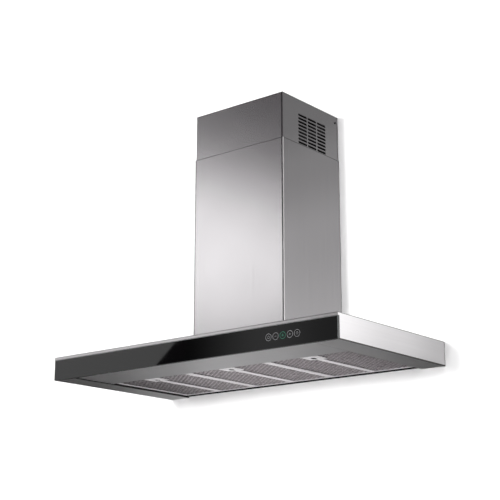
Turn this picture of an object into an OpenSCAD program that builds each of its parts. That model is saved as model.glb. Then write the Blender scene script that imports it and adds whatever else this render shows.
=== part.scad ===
// Wall chimney hood: slim canopy with a glass front, telescopic chimney cover,
// boxed double-inlet blower and three mesh filters that swing down at the front.
// Origin: wall plane, middle of the width, underside of the canopy.
// +X to the right as seen from the front, +Y into the wall, +Z up. Millimetres.

/* [Canopy] */
// Width of the canopy
hood_w = 900; // [800:10:1000]
// Depth from the wall to the face of the glass
hood_d = 450; // [430:5:520]
// Height of the canopy
hood_h = 60; // [56:1:80]
// Thickness of the steel sheet
sheet = 1; // [0.8:0.1:1.3]
// Width of the strip under each end
cheek_w = 67; // [50:1:90]
// Height of the folded edge inside each strip
cheek_lip = 12; // [8:1:16]
// Step from the end strips up to the middle panel
panel_rise = 3; // [2:0.5:4]
// Depth of the plain panel between the front wall and the filters
panel_d = 144; // [120:1:160]
// Height of the folded edge at the front of the panel
panel_fold = 5; // [3:0.5:5]
// Radius of the top front edge
lip_r = 1.6; // [1:0.2:3]
// Assembly clearance between fixed sheet parts
fit_gap = 0.3; // [0.1:0.1:0.5]
// Running clearance between moving parts
run_gap = 0.3; // [0.2:0.1:0.5]

/* [Glass] */
// Height of the steel lip above the glass
lip_h = 8; // [6:0.5:12]
// Thickness of the glass
glass_t = 5; // [4:0.5:6]
// Thickness of the bonding tape
tape_t = 1; // [0.8:0.1:1.5]
// Height of each tape strip
tape_h = 10; // [6:1:14]
// Gap between the glass and the lip
glass_gap = 0.3; // [0.2:0.1:1]
// Radius of the ground edges of the glass
glass_r = 0.6; // [0.4:0.1:1]

/* [Touch control] */
// Right end of the hood to the middle key
keys_in = 150.7; // [140:1:250]
// Height of the keys
keys_z = 26.5; // [25:0.5:30]
// Distance between neighbouring keys
key_pitch = 20.2; // [18:0.2:22]
// Number of keys
key_count = 5; // [3:1:5]
// Outer radius of a contact pad
pad_r = 6; // [4:0.5:7]
// Light channel through a contact pad
pad_bore_r = 2.5; // [1.5:0.5:3]
// Width of the control housing
control_w = 114; // [112:1:130]
// Height of the control housing
control_h = 34; // [30:1:34]
// Depth of the control housing
control_d = 18; // [16:1:24]
// Wall of the plastic housings
plastic_wall = 1.5; // [1.2:0.1:2]
// Thickness of the circuit boards
board_t = 1.6; // [1:0.1:2]

/* [Filters] */
// Thickness of a filter
filter_t = 9; // [9:0.5:12]
// Sheet of the filter frame
filter_sheet = 0.8; // [0.6:0.1:1]
// Step from the panel up to the filters
filter_rise = 1.7; // [1:0.1:2]
// Band of the frame along the sides
side_band = 11; // [8:1:14]
// Band of the frame along the front and the rear
end_band = 7; // [5:1:10]
// Width of the middle rib
rib_w = 19; // [14:1:24]
// Gap between neighbouring filters
filter_gap = 0.8; // [0.5:0.1:2]
// Gap between the outer filters and the end strips
cheek_gap = 3; // [1:0.5:5]
// Gap behind the filters
back_gap = 15; // [15:1:20]
// Pitch of the pleats in the mesh
pleat_pitch = 11; // [8:1:16]
// Thickness of the pleated mesh
pleat_t = 0.9; // [0.6:0.1:1.2]
// Direction of the lower pleats, from the width of the hood
pleat_angle = -38; // [-50:1:-30]
// Radius of the bead that the filters hook on
bead_r = 2; // [1.5:0.1:2.5]
// Distance from the wall to the bead
bead_y = 11; // [10:0.5:11]
// Height of the rail above the bead
rail_h = 16; // [12:1:20]
// Wall of the filter hooks
hook_t = 1.2; // [1:0.1:1.4]
// Width of a filter hook
hook_w = 24; // [14:1:30]
// Distance from the middle of a filter to each hook
hook_x = 80; // [60:1:95]

/* [Filter latch] */
// Width of the latch plate
plate_w = 50; // [46:1:56]
// Length of the latch plate
plate_d = 52; // [50:1:56]
// Corner radius of the latch plate
plate_r = 6; // [4:0.5:8]
// Half width of the finger hole in the plate
finger_r = 7; // [6:0.5:8]
// Length of the finger hole in the plate
finger_len = 20; // [20:1:22]
// Distance from the front of the filter to the middle of the finger hole
finger_y = 36; // [35:0.5:37]
// Offset of the finger hole from the middle of the filter
finger_x = -4; // [-5:0.5:0]
// Thickness of the slider
slider_t = 1.5; // [1.2:0.1:1.8]
// Width of the slider
slider_w = 32; // [30:1:34]
// Radius of the finger hole in the slider
slider_hole_r = 6; // [5:0.5:6]
// Width of the bolt at the front of the slider
bolt_w = 22; // [16:1:24]
// Reach of the bolt past the front of the filter
bolt_reach = 5.8; // [5:0.1:6]
// Travel of the slider
latch_travel = 6; // [6:0.1:6.5]
// Length of the latch spring
spring_len = 14; // [13:0.5:15]
// Half width of the latch spring
spring_r = 5; // [4:0.5:7]
// Thickness of the spring strip
spring_t = 0.5; // [0.4:0.1:0.6]
// Number of folds of the spring
spring_folds = 6; // [4:1:8]

/* [Chimney cover] */
// Height of the whole hood, with the upper cover as mounted
total_h = 715; // [690:5:740]
// Width of the lower cover
chimney_w = 298; // [296:1:310]
// Depth of the lower cover
chimney_d = 248; // [246:1:260]
// Length of the upper cover
upper_h = 535; // [520:1:540]
// Part of the upper cover that shows above the lower one
upper_shown = 124; // [122:1:140]
// Gap between the two covers
slide_gap = 0.8; // [0.5:0.1:0.9]
// Outer bend radius of the covers
bend_r = 2.5; // [1.8:0.1:4]
// Width of the folded edges at the wall
wall_fold = 14; // [10:1:14]
// Width of the folded edge on the canopy
foot_fold = 10; // [8:1:11]
// Length of a vent slot
vent_len = 37.2; // [30:0.2:38]
// Height of a vent slot
vent_h = 5.2; // [3:0.1:5.4]
// Distance between the slots of a column
vent_pitch = 9.45; // [8:0.05:9.5]
// Slots in a column
vent_rows = 9; // [5:1:9]
// Distance between the columns
vent_column_pitch = 41.3; // [40:0.1:50]
// Columns of slots
vent_columns = 3; // [2:1:3]
// Top of the cover to the middle of the top slot
vent_drop = 42.6; // [35:0.1:44]
// Wall to the middle of the vent
vent_y = 119; // [100:1:130]

/* [Chimney bracket] */
// Thickness of the bracket
bracket_t = 1.5; // [1.2:0.1:2]
// Height of the bracket
bracket_h = 30; // [24:1:32]
// Top of the cover to the middle of the screws
screw_drop = 18; // [16:1:18]
// Wall to the middle of the screws
screw_y = 13.5; // [12:0.5:16]
// Half width of the part that lies on the wall
bracket_half = 118; // [100:1:120]
// Step of the bracket ears off the wall
bracket_step = 4.5; // [4.5:0.5:6]
// Length of the ears along the sides
bracket_ear = 21; // [18:1:30]
// Distance between the wall holes of the bracket
bracket_hole_x = 120; // [80:1:160]
// Radius of the holes for wall screws
wall_hole_r = 3.5; // [3:0.1:4]

/* [Blower box] */
// Room between each side of the box and the chimney cover
box_room_x = 24; // [22:1:26]
// Room between the front of the box and the chimney cover
box_room_y = 23; // [22:1:24]
// Height of the blower box
box_h = 241; // [238:1:260]
// Width of its foot flange
box_foot = 10; // [6:1:10]
// Rim of the canopy around the opening into the box
box_rim = 12; // [6:1:16]
// Distance between the wall holes of the box
box_hole_x = 190; // [170:1:200]
// Top of the box to its wall holes
box_hole_drop = 31; // [25:1:60]

/* [Blower] */
// Outer radius of the impeller
impeller_r = 75; // [72:0.5:75]
// Inner radius of the blades
blade_in_r = 63; // [63:0.5:64]
// Width of the impeller
impeller_w = 120; // [110:1:120]
// Number of blades
blades = 38; // [24:1:44]
// Thickness of a blade
blade_t = 1.2; // [1:0.1:1.6]
// Forward sweep of a blade, in degrees
blade_sweep = 8; // [4:1:12]
// Radial gap of the scroll at its tongue
tongue_gap = 6; // [6:0.5:7]
// Wall of the scroll housing
scroll_wall = 2; // [1.6:0.1:2.2]
// Growth of the scroll's radius for each degree
scroll_growth = 0.00145; // [0.0013:0.00005:0.00145]
// Blower axis to the wall
axis_y = 121; // [121:1:122]
// Blower axis above the canopy
axis_z = 114; // [112:1:116]
// Gap between an impeller end and the scroll
side_gap = 5; // [4:0.5:6]
// Throat radius of the inlets
inlet_r = 60; // [56:0.5:60]
// Radius of the inlet's rounded mouth
mouth_r = 7.5; // [6:0.5:7.5]
// Width of the flange on top of the scroll
neck_fold = 8; // [6:1:10]
// Radius of the motor
motor_r = 42; // [38:1:44]
// Length of the motor
motor_len = 70; // [60:1:74]
// Radius of the motor shaft
shaft_r = 4; // [3:0.1:5]
// Wall of the motor clamp ring
clamp_t = 3; // [2:0.5:3.5]
// Length of the motor clamp ring
clamp_len = 12; // [8:1:14]
// Pitch of the guard rings
guard_pitch = 6; // [5:0.5:8]
// Radius of the capacitor
capacitor_r = 16; // [12:1:17]
// Length of the capacitor
capacitor_len = 60; // [40:1:70]

/* [Outlet] */
// Outer radius of the outlet collar
collar_r = 74.5; // [74:0.1:74.5]
// Wall of the collar
collar_wall = 2; // [1.6:0.1:2.4]
// Height of the collar above the box
collar_h = 50; // [46:1:70]
// Wall to the middle of the collar
collar_y = 80; // [80:1:82]
// Width of the collar's flange
collar_flange = 11; // [9:1:12]
// Height of the damper axle above the box
damper_z = 20; // [14:1:24]
// Thickness of a damper flap
flap_t = 1.3; // [1:0.1:1.6]
// Gap between a flap and the collar
flap_gap = 0.8; // [0.6:0.1:0.9]
// Radius of the damper axle
axle_r = 2; // [1.5:0.1:2.2]
// Wall of the flap knuckles
knuckle_t = 1.3; // [1:0.1:1.4]
// Width of a knuckle
knuckle_w = 18; // [14:1:18]
// Gap between the knuckles of the two flaps
knuckle_gap = 2; // [1:0.5:3]
// Radius of the cable gland
gland_r = 10; // [8:0.5:12]
// Radius of the cable hole
cable_r = 4.5; // [3:0.5:5]
// Side of the box to the cable gland
gland_in_x = 30; // [25:1:40]
// Front of the box to the cable gland
gland_in_y = 35; // [30:1:40]

/* [Power box] */
// Width of the power box
power_w = 130; // [110:1:150]
// Depth of the power box
power_d = 106; // [90:1:108]
// Height of the power box
power_h = 36; // [30:1:40]
// Middle of the power box, from the middle of the hood
power_x = -105; // [-150:1:0]
// Thickness of its cover
cover_t = 2; // [1.5:0.1:3]
// Distance between its cable openings
opening_pitch = 35; // [30:1:38]
// Width of the transformer
trafo_w = 34; // [28:1:36]
// Depth of the transformer
trafo_d = 28; // [22:1:30]
// Height of the transformer
trafo_h = 18; // [14:1:20]
// Distance between the relays
relay_pitch = 14; // [12:1:15]
// Width of a relay
relay_w = 10; // [8:1:10]
// Depth of a relay
relay_d = 19; // [16:1:20]
// Height of a relay
relay_h = 13; // [10:1:14]
// Length of the terminal strip
strip_w = 90; // [80:1:92]
// Depth of the terminal strip
strip_d = 12; // [10:1:14]
// Height of the terminal strip
strip_h = 9; // [7:1:11]
// Front of the box to the parts on the board
parts_inset = 18; // [16:1:20]

/* [Fixings] */
// Shank radius of the sheet screws
screw_r = 1.75; // [1.5:0.05:2]
// Head radius of the sheet screws
screw_head_r = 3.4; // [3:0.1:4]
// Head height of the sheet screws
screw_head_h = 2; // [1.5:0.1:2.5]
// Head radius of the chimney screws
pan_head_r = 2.7; // [2.4:0.1:3]
// Head height of the chimney screws
pan_head_h = 1.4; // [1:0.1:1.6]
// Clearance of a screw in its hole
screw_gap = 0.1; // [0.05:0.05:0.2]
// Distance from the middle to the keyholes in the back wall
keyhole_x = 300; // [250:1:340]
// Height of the keyholes
keyhole_z = 28; // [24:1:30]
// Radius of the keyhole's entry
keyhole_r = 5.5; // [5:0.1:6]
// Radius of the keyhole's slot
keyslot_r = 3; // [2.5:0.1:3.2]

/* [Hidden] */
$fn = 48;
e = 0.01;

steel = [0.72, 0.71, 0.72];
steel_dark = [0.55, 0.55, 0.57];
glass_black = [0.03, 0.03, 0.035];
aluminium = [0.83, 0.81, 0.82];
mesh_grey = [0.55, 0.53, 0.54];
zinc = [0.66, 0.68, 0.70];
plastic_black = [0.10, 0.10, 0.11];
plastic_grey = [0.35, 0.36, 0.38];
plastic_white = [0.88, 0.88, 0.86];
board_green = [0.08, 0.35, 0.20];
spring_steel = [0.60, 0.60, 0.62];
foam_grey = [0.25, 0.25, 0.26];

// Canopy
recess_y = -hood_d + glass_t + tape_t;    // front wall, behind the glass
lip_z = hood_h - lip_h;                   // underside of the steel lip
mouth_half = hood_w / 2 - cheek_w;        // half the clear width between the end strips
top_z = hood_h - sheet;                   // underside of the top sheet
panel_front_y = recess_y + sheet + fit_gap;
filter_edge_y = recess_y + panel_d;       // rear edge of the plain panel
panel_half = mouth_half - fit_gap;

// Filters
filter_z = panel_rise + filter_rise;
floor_z = filter_z + filter_sheet;        // inside of the frame's lower band
ledge_z = floor_z;                        // top of the ledge under the bolts
filter_top = filter_z + filter_t;
filter_y0 = filter_edge_y + run_gap;
filter_y1 = -back_gap;
filter_d = filter_y1 - filter_y0;
filter_w = (2 * (mouth_half - cheek_gap) - 2 * filter_gap) / 3;
filter_step = filter_w + filter_gap;
hinge_y = -bead_y;
hinge_z = filter_z + filter_t / 2;
hook_r = bead_r + run_gap;
mesh_gap = 0.1;
mesh_h = filter_t - 2 * filter_sheet - 2 * mesh_gap;
pocket_w = plate_w + 4;                   // clear of the latch inside the mesh
slider_y = filter_y0 + finger_y - 3;      // middle of the slider's finger hole
slider_front = filter_y0 + 8;             // where the bolt widens into the slider
slider_back = slider_y + slider_hole_r + 4;
spring_y1 = slider_back + run_gap + spring_len;
pocket_y1 = spring_y1 + 3;
slider_z = floor_z + run_gap;

// Chimney cover
upper_top = total_h;
lower_top = upper_top - upper_shown;
lower_h = lower_top - hood_h;
upper_bottom = upper_top - upper_h;
upper_w = chimney_w - 2 * sheet - 2 * slide_gap;
upper_front = -chimney_d + sheet + slide_gap;
upper_back = -sheet - slide_gap;
upper_inner = upper_w / 2 - sheet;
screw_z = upper_top - screw_drop;

// Blower
box_w = chimney_w - 2 * box_room_x;
box_d = chimney_d - box_room_y;
box_top = hood_h + box_h;
box_ceiling = box_top - sheet;
axis_at = hood_h + axis_z;
inner_half = impeller_w / 2 + side_gap;
outer_half = inner_half + scroll_wall;
tongue_r = impeller_r + tongue_gap;
tongue_y = 31;                            // tongue, in front of the axis
tongue_angle = 180 - acos(tongue_y / tongue_r);
neck_rear = spiral_r(360);
neck_top = box_ceiling - axis_at;
throat_out = inlet_r + scroll_wall - 0.5;
motor_x1 = -22;                           // inner end of the motor
motor_x0 = motor_x1 - motor_len;
clamp_x0 = -outer_half - 5 - clamp_len;
clamp_in = motor_r + 0.2;
clamp_out = clamp_in + clamp_t;
foot_r0 = inlet_r + mouth_r + 9;
foot_r1 = foot_r0 + 11;
foot_angles = [90, 210, 330];
guard_out = inlet_r + mouth_r + 5;
guard_t = 2.5;
shaft_x0 = motor_x0 + 8;
shaft_x1 = 34;
hub_r = 12;
hub_x0 = -9;
hub_x1 = 20;
shaft_gap = 0.3;                          // between the shaft and the motor's bearing
grip_gap = 0.05;                          // between the shaft and the impeller's hub
capacitor_y = -box_d + sheet + capacitor_r + 1.5;
capacitor_z = box_ceiling - capacitor_r - 12;

// Outlet
collar_in = collar_r - collar_wall;
outlet_hole_r = collar_in - 2.5;
axle_z = box_top + damper_z;
knuckle_in = axle_r + run_gap;
knuckle_out = knuckle_in + knuckle_t;
knuckle_step = knuckle_w + knuckle_gap;
flap_edge = knuckle_out + 0.8;            // from the axle to the edge of a flap
gland_x = box_w / 2 - gland_in_x;
gland_y = -box_d + gland_in_y;

// Touch control
keys_x = hood_w / 2 - keys_in;
control_z = keys_z;
control_y0 = recess_y + sheet;
window_gap = 4;                           // rim of the housing around the window
touch_y = control_y0 + 7;                 // front of the touch board

// Power box
power_y0 = control_y0 + 6;
power_z0 = top_z - power_h;
power_board_z = power_z0 + power_h - plastic_wall - 5;

// ---- helpers ----

// Extrudes a profile drawn as (Y, Z) along X.
module along_x(x0, length) {
    translate([x0, 0, 0]) rotate([90, 0, 90]) linear_extrude(length) children();
}

// Extrudes a profile drawn as (X, Z) towards the wall.
module along_y(y0, length) {
    translate([0, y0 + length, 0]) rotate([90, 0, 0]) linear_extrude(length) children();
}

module block(x0, x1, y0, y1, z0, z1) {
    translate([x0, y0, z0]) cube([x1 - x0, y1 - y0, z1 - z0]);
}

module x_rod(radius, x0, x1, y, z) {
    translate([x0, y, z]) rotate([0, 90, 0]) cylinder(h = x1 - x0, r = radius);
}

module y_rod(radius, x, y0, y1, z) {
    translate([x, y0, z]) rotate([-90, 0, 0]) cylinder(h = y1 - y0, r = radius);
}

module z_rod(radius, x, y, z0, z1) {
    translate([x, y, z0]) cylinder(h = z1 - z0, r = radius);
}

// Rectangle from corner to corner.
module rect(x0, x1, y0, y1) {
    translate([x0, y0]) square([x1 - x0, y1 - y0]);
}

// Rectangle with round corners.
module round_rect(x0, x1, y0, y1, r) {
    rect(x0 + r, x1 - r, y0, y1);
    rect(x0, x1, y0 + r, y1 - r);
    for (x = [x0 + r, x1 - r], y = [y0 + r, y1 - r]) translate([x, y]) circle(r);
}

// Slot with round ends, its length along the second axis.
module slot(r, length) {
    rect(-r, r, -length / 2 + r, length / 2 - r);
    for (s = [-1, 1]) translate([0, s * (length / 2 - r)]) circle(r);
}

// Ring between two radii.
module ring(r_in, r_out) {
    difference() {
        circle(r_out);
        circle(r_in);
    }
}

// Sheet screw with its head under z = 0 and its shank above.
module screw_up(length) {
    translate([0, 0, -screw_head_h]) cylinder(h = screw_head_h, r = screw_head_r);
    cylinder(h = length, r = screw_r);
}

// ---- canopy ----

module canopy_outline() {
    difference() {
        polygon([
            [-hood_d, hood_h], [-hood_d, lip_z], [recess_y, lip_z], [recess_y, 0],
            [0, 0], [0, hood_h],
        ]);
        translate([-hood_d, hood_h]) rotate(-90) difference() {
            square(lip_r);
            translate([lip_r, lip_r]) circle(lip_r);
        }
    }
}

module canopy_hollow() {
    polygon([
        [-hood_d + sheet, top_z], [-hood_d + sheet, lip_z + sheet],
        [recess_y + sheet, lip_z + sheet], [recess_y + sheet, -1], [-sheet, -1], [-sheet, top_z],
    ]);
}

module keyhole() {
    circle(keyhole_r);
    rect(-keyslot_r, keyslot_r, 0, keyhole_r + 2 * keyslot_r);
    translate([0, keyhole_r + 2 * keyslot_r]) circle(keyslot_r);
}

module touch_window() {
    rect(keys_x - control_w / 2 + window_gap, keys_x + control_w / 2 - window_gap,
        control_z - control_h / 2 + window_gap, control_z + control_h / 2 - window_gap);
}

// Strip under one end, with its edge folded up.
module end_strip() {
    rect(mouth_half, hood_w / 2, 0, sheet);
    rect(mouth_half, mouth_half + sheet, 0, cheek_lip);
}

module canopy_shell() {
    color(steel) union() {
        difference() {
            along_x(-hood_w / 2, hood_w) canopy_outline();
            along_x(-hood_w / 2 + sheet, hood_w - 2 * sheet) canopy_hollow();
            // The back wall starts at the level of the panel between the end strips.
            block(-mouth_half, mouth_half, -2 * sheet, 1, -1, panel_rise);
            block(-box_w / 2 + box_rim, box_w / 2 - box_rim, -box_d + box_rim, -box_rim,
                top_z - 1, hood_h + 1);
            along_y(-2 * sheet, 3 * sheet) for (s = [-1, 1])
                translate([s * keyhole_x, keyhole_z]) keyhole();
            along_y(recess_y - 1, sheet + 2) touch_window();
            blower_screw_places() z_rod(screw_r + screw_gap, 0, 0, -2 * sheet, sheet);
            foot_screw_places() z_rod(screw_r + screw_gap, 0, 0, -2 * sheet, sheet);
        }
        along_y(recess_y, -recess_y) {
            end_strip();
            mirror([1, 0]) end_strip();
        }
    }
}

module front_glass() {
    color(glass_black) along_x(-hood_w / 2, hood_w)
        round_rect(-hood_d, -hood_d + glass_t, 0, lip_z - glass_gap, glass_r);
}

module glass_tape() {
    strips = [3, lip_z - glass_gap - 3 - tape_h];
    color(foam_grey) for (z = strips)
        block(-hood_w / 2 + 10, hood_w / 2 - 10, recess_y - tape_t, recess_y, z, z + tape_h / 2);
}

module bottom_panel() {
    color(steel) union() {
        along_x(-panel_half, 2 * panel_half) {
            rect(panel_front_y, filter_edge_y, panel_rise, panel_rise + sheet);
            rect(panel_front_y, panel_front_y + sheet, panel_rise, panel_rise + panel_fold);
            rect(filter_edge_y - sheet, filter_edge_y, panel_rise, ledge_z);
        }
        for (s = [-1, 1]) translate([s * (panel_half - sheet / 2), 0, 0])
            block(-sheet / 2, sheet / 2, panel_front_y, filter_edge_y, panel_rise, cheek_lip);
    }
}

// Rail along the back wall, folded forward into a round bead.
module filter_rail() {
    color(steel_dark) along_x(-panel_half, 2 * panel_half) {
        rect(-sheet - sheet, -sheet, hinge_z - sheet / 2, hinge_z + rail_h);
        rect(hinge_y, -sheet, hinge_z - sheet / 2, hinge_z + sheet / 2);
        translate([hinge_y, hinge_z]) circle(bead_r);
    }
}

// ---- touch control ----

module control_housing() {
    w = control_w / 2;
    h = control_h / 2;
    y1 = control_y0 + control_d;
    color(plastic_black) translate([keys_x, 0, control_z]) difference() {
        union() {
            difference() {
                block(-w, w, control_y0, y1, -h, h);
                block(-w + plastic_wall, w - plastic_wall, control_y0 - 1, y1 - plastic_wall,
                    -h + plastic_wall, h - plastic_wall);
            }
            for (x = [-w + 5, w - 5], z = [-h + 5, h - 5])
                y_rod(2.5, x, touch_y + board_t, y1 - plastic_wall + e, z);
        }
        // Cable opening in the rear wall
        block(-8, 8, y1 - 2 * plastic_wall, y1 + 1, -3, 3);
    }
}

module touch_board() {
    w = control_w / 2 - plastic_wall - fit_gap;
    h = control_h / 2 - plastic_wall - fit_gap;
    color(board_green) translate([keys_x, 0, control_z]) {
        block(-w, w, touch_y, touch_y + board_t, -h, h);
        block(-12, -2, touch_y + board_t, touch_y + board_t + 1.2, -5, 5);
        block(20, 34, touch_y + board_t, touch_y + board_t + 5, -3, 3);
    }
}

module touch_pads() {
    color(foam_grey) for (i = [0 : key_count - 1])
        translate([keys_x + (i - (key_count - 1) / 2) * key_pitch, 0, keys_z]) difference() {
            y_rod(pad_r, 0, recess_y - tape_t, touch_y, 0);
            y_rod(pad_bore_r, 0, recess_y - tape_t - 1, touch_y + 1, 0);
        }
}

// ---- power box, hung under the top sheet ----

module power_area(inset, z0, z1) {
    block(power_x - power_w / 2 + inset, power_x + power_w / 2 - inset,
        power_y0 + inset, power_y0 + power_d - inset, z0, z1);
}

module power_corners(inset) {
    for (x = [-1, 1], y = [-1, 1])
        translate([power_x + x * (power_w / 2 - inset), power_y0 + power_d / 2 + y * (power_d / 2 - inset), 0])
            children();
}

module power_box() {
    color(plastic_white) difference() {
        union() {
            difference() {
                power_area(0, power_z0, top_z);
                power_area(plastic_wall, power_z0 - 1, top_z - plastic_wall);
            }
            power_corners(7) z_rod(3, 0, 0, power_board_z, top_z - plastic_wall + e);
        }
        // Cable openings towards the blower
        for (i = [-1 : 1])
            y_rod(5, power_x + i * opening_pitch, power_y0 + power_d - 2 * plastic_wall,
                power_y0 + power_d + 1, power_z0 + 10);
    }
}

module power_board() {
    z0 = power_board_z - board_t;
    color(board_green) union() {
        power_area(plastic_wall + fit_gap, z0, power_board_z);
        translate([power_x, power_y0 + parts_inset, z0]) {
            block(-relay_pitch - trafo_w, -relay_pitch, 0, trafo_d, -trafo_h, e);
            for (x = [0 : relay_pitch : 3 * relay_pitch])
                block(x, x + relay_w, 0, relay_d, -relay_h, e);
        }
        translate([power_x, power_y0 + power_d - parts_inset, z0])
            block(-strip_w / 2, strip_w / 2, -strip_d, 0, -strip_h, e);
    }
}

module power_cover() {
    color(plastic_white) union() {
        power_area(0, power_z0 - cover_t, power_z0);
        difference() {
            power_area(plastic_wall + fit_gap, power_z0 - e, power_z0 + 3);
            power_area(2 * plastic_wall + fit_gap, power_z0 - 1, power_z0 + 4);
        }
    }
}

// ---- filters ----

// Hook over the bead; open below and behind, so the filter swings down and lifts off.
module filter_hook() {
    difference() {
        union() {
            translate([hinge_y, hinge_z]) circle(hook_r + hook_t);
            rect(filter_y1 - filter_sheet, hinge_y - hook_r, hinge_z, hinge_z + hook_r + hook_t);
        }
        translate([hinge_y, hinge_z]) circle(hook_r);
        rect(hinge_y - hook_r - hook_t - 1, hinge_y + hook_r + hook_t + 1,
            hinge_z - hook_r - hook_t - 1, hinge_z);
        translate([hinge_y, hinge_z]) polygon([[0, 0], [20, 0], [20, 10]]);
    }
}

module latch_plate_outline() {
    round_rect(-plate_w / 2, plate_w / 2, filter_y0, filter_y0 + plate_d, plate_r);
    rect(-plate_w / 2, plate_w / 2, filter_y0, filter_y0 + plate_r);
}

module filter_frame(i) {
    s = filter_sheet;
    color(aluminium) translate([(i - 1) * filter_step, 0, 0]) difference() {
        union() {
            difference() {
                block(-filter_w / 2, filter_w / 2, filter_y0, filter_y1, filter_z, filter_top);
                block(-filter_w / 2 + s, filter_w / 2 - s, filter_y0 + s, filter_y1 - s,
                    floor_z, filter_top - s);
                block(-filter_w / 2 + side_band, filter_w / 2 - side_band,
                    filter_y0 + end_band, filter_y1 - end_band, filter_z - 1, filter_top + 1);
            }
            block(-rib_w / 2, rib_w / 2, filter_y0 + s, filter_y1 - s, filter_z, floor_z);
            translate([0, 0, filter_z]) linear_extrude(s) latch_plate_outline();
            for (x = [-hook_x, hook_x]) along_x(x - hook_w / 2, hook_w) filter_hook();
            slider_guides();
            // Stop for the spring
            block(-rib_w / 2, rib_w / 2, spring_y1, spring_y1 + s, filter_z, floor_z + slider_t + 2);
        }
        // Finger hole and the three short slots beside it
        translate([finger_x, filter_y0 + finger_y, filter_z - 1])
            linear_extrude(s + 2) slot(finger_r, finger_len);
        for (k = [0 : 2])
            translate([plate_w / 2 - 8.5, filter_y0 + 12 + k * 13, filter_z - 1])
                linear_extrude(s + 2) rotate(90) slot(1.6, 11);
        // Opening for the bolt
        block(-bolt_w / 2 - run_gap, bolt_w / 2 + run_gap, filter_y0 - 1, filter_y0 + s + 1,
            floor_z, slider_z + slider_t + run_gap);
    }
}

// Two folded tabs that keep the slider on the plate.
module slider_guides() {
    x0 = slider_w / 2 + run_gap;
    z1 = slider_z + slider_t + run_gap;
    for (m = [0, 1]) mirror([m, 0, 0]) {
        block(x0, x0 + filter_sheet, slider_front + 3, slider_back - 3, filter_z, z1 + filter_sheet);
        block(x0 - 3, x0 + filter_sheet, slider_front + 3, slider_back - 3, z1, z1 + filter_sheet);
    }
}

module filter_latch(i) {
    color(plastic_grey) translate([(i - 1) * filter_step, 0, slider_z])
        linear_extrude(slider_t) difference() {
            union() {
                rect(-bolt_w / 2, bolt_w / 2, filter_y0 - bolt_reach, slider_front + e);
                rect(-slider_w / 2, slider_w / 2, slider_front, slider_back);
            }
            translate([finger_x, slider_y]) circle(slider_hole_r);
        }
}

// Flat spring: a strip folded to and fro between the slider and its stop. Even folds are
// on the left. Between two folds on one side the outline runs in to a notch.
module latch_spring(i) {
    y0 = slider_back + run_gap;
    strip = 2 * spring_t;
    step = (spring_len - strip) / spring_folds;
    notch = strip * spring_r / step - spring_r;
    right = [
        for (k = [0 : spring_folds]) let (y = y0 + k * step)
            each k % 2 == 1 ? [[spring_r, y], [spring_r, y + strip]]
                : k > 0 && k < spring_folds ? [[notch, y + strip / 2]] : []
    ];
    left = [
        for (k = [spring_folds : -1 : 0]) let (y = y0 + k * step)
            each k % 2 == 0 ? [[-spring_r, y + strip], [-spring_r, y]]
                : k < spring_folds ? [[-notch, y + strip / 2]] : []
    ];
    color(spring_steel) translate([(i - 1) * filter_step, 0, slider_z])
        linear_extrude(slider_t) polygon(concat(right, left));
}

// One pleated layer: a strip folded up and down, cut to the inside of the frame.
module pleated_layer(height, angle) {
    reach = (filter_w + filter_d) / 2;
    n = ceil(reach / pleat_pitch);
    rise = height - pleat_t;
    lower = [for (k = [-2 * n : 2 * n]) [k * pleat_pitch / 2, k % 2 == 0 ? 0 : rise]];
    upper = [for (k = [2 * n : -1 : -2 * n]) [k * pleat_pitch / 2, (k % 2 == 0 ? 0 : rise) + pleat_t]];
    rotate(angle) along_x(-reach, 2 * reach) polygon(concat(lower, upper));
}

module filter_mesh(i) {
    y_mid = (filter_y0 + filter_y1) / 2;
    inset = filter_sheet + mesh_gap;
    half = mesh_h / 2;
    color(mesh_grey) translate([(i - 1) * filter_step, 0, 0]) difference() {
        for (layer = [0, 1]) intersection() {
            translate([0, y_mid, floor_z + mesh_gap + layer * half])
                pleated_layer(half - layer * mesh_gap, (layer == 0 ? 1 : -1) * pleat_angle);
            block(-filter_w / 2 + inset, filter_w / 2 - inset, filter_y0 + inset, filter_y1 - inset,
                filter_z, filter_top);
        }
        block(-pocket_w / 2, pocket_w / 2, filter_y0 - 1, pocket_y1, filter_z, filter_top);
    }
}

// ---- chimney cover ----

// Folded channel seen from above: front, two sides, and two edges turned in at the wall.
module channel(w, front, back) {
    difference() {
        round_rect(-w / 2, w / 2, front, back, bend_r);
        round_rect(-w / 2 + sheet, w / 2 - sheet, front + sheet, back - sheet, bend_r - sheet);
        rect(-w / 2 + wall_fold, w / 2 - wall_fold, back - 2 * sheet, back + 1);
    }
}

module lower_chimney() {
    w = chimney_w / 2;
    color(steel) difference() {
        union() {
            translate([0, 0, hood_h]) linear_extrude(lower_h) channel(chimney_w, -chimney_d, 0);
            translate([0, 0, hood_h]) linear_extrude(sheet) difference() {
                rect(-w + sheet / 2, w - sheet / 2, -chimney_d + sheet / 2, -sheet - wall_fold);
                rect(-w + sheet + foot_fold, w - sheet - foot_fold,
                    -chimney_d + sheet + foot_fold, 1);
            }
        }
        foot_screw_places() z_rod(screw_r + screw_gap, 0, 0, -1, 2 * sheet);
    }
}

module foot_screw_places() {
    for (s = [-1, 1])
        translate([s * (chimney_w / 2 - sheet - foot_fold / 2), -chimney_d / 2, hood_h]) children();
}

module lower_chimney_screws() {
    color(zinc) foot_screw_places() translate([0, 0, sheet]) mirror([0, 0, 1]) screw_up(3 * sheet);
}

// Vent: columns of short slots, as (Y, Z).
module vent() {
    for (c = [0 : vent_columns - 1], k = [0 : vent_rows - 1])
        translate([
            -vent_y + (c - (vent_columns - 1) / 2) * vent_column_pitch,
            upper_top - vent_drop - k * vent_pitch,
        ]) rotate(90) slot(vent_h / 2, vent_len);
}

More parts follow.
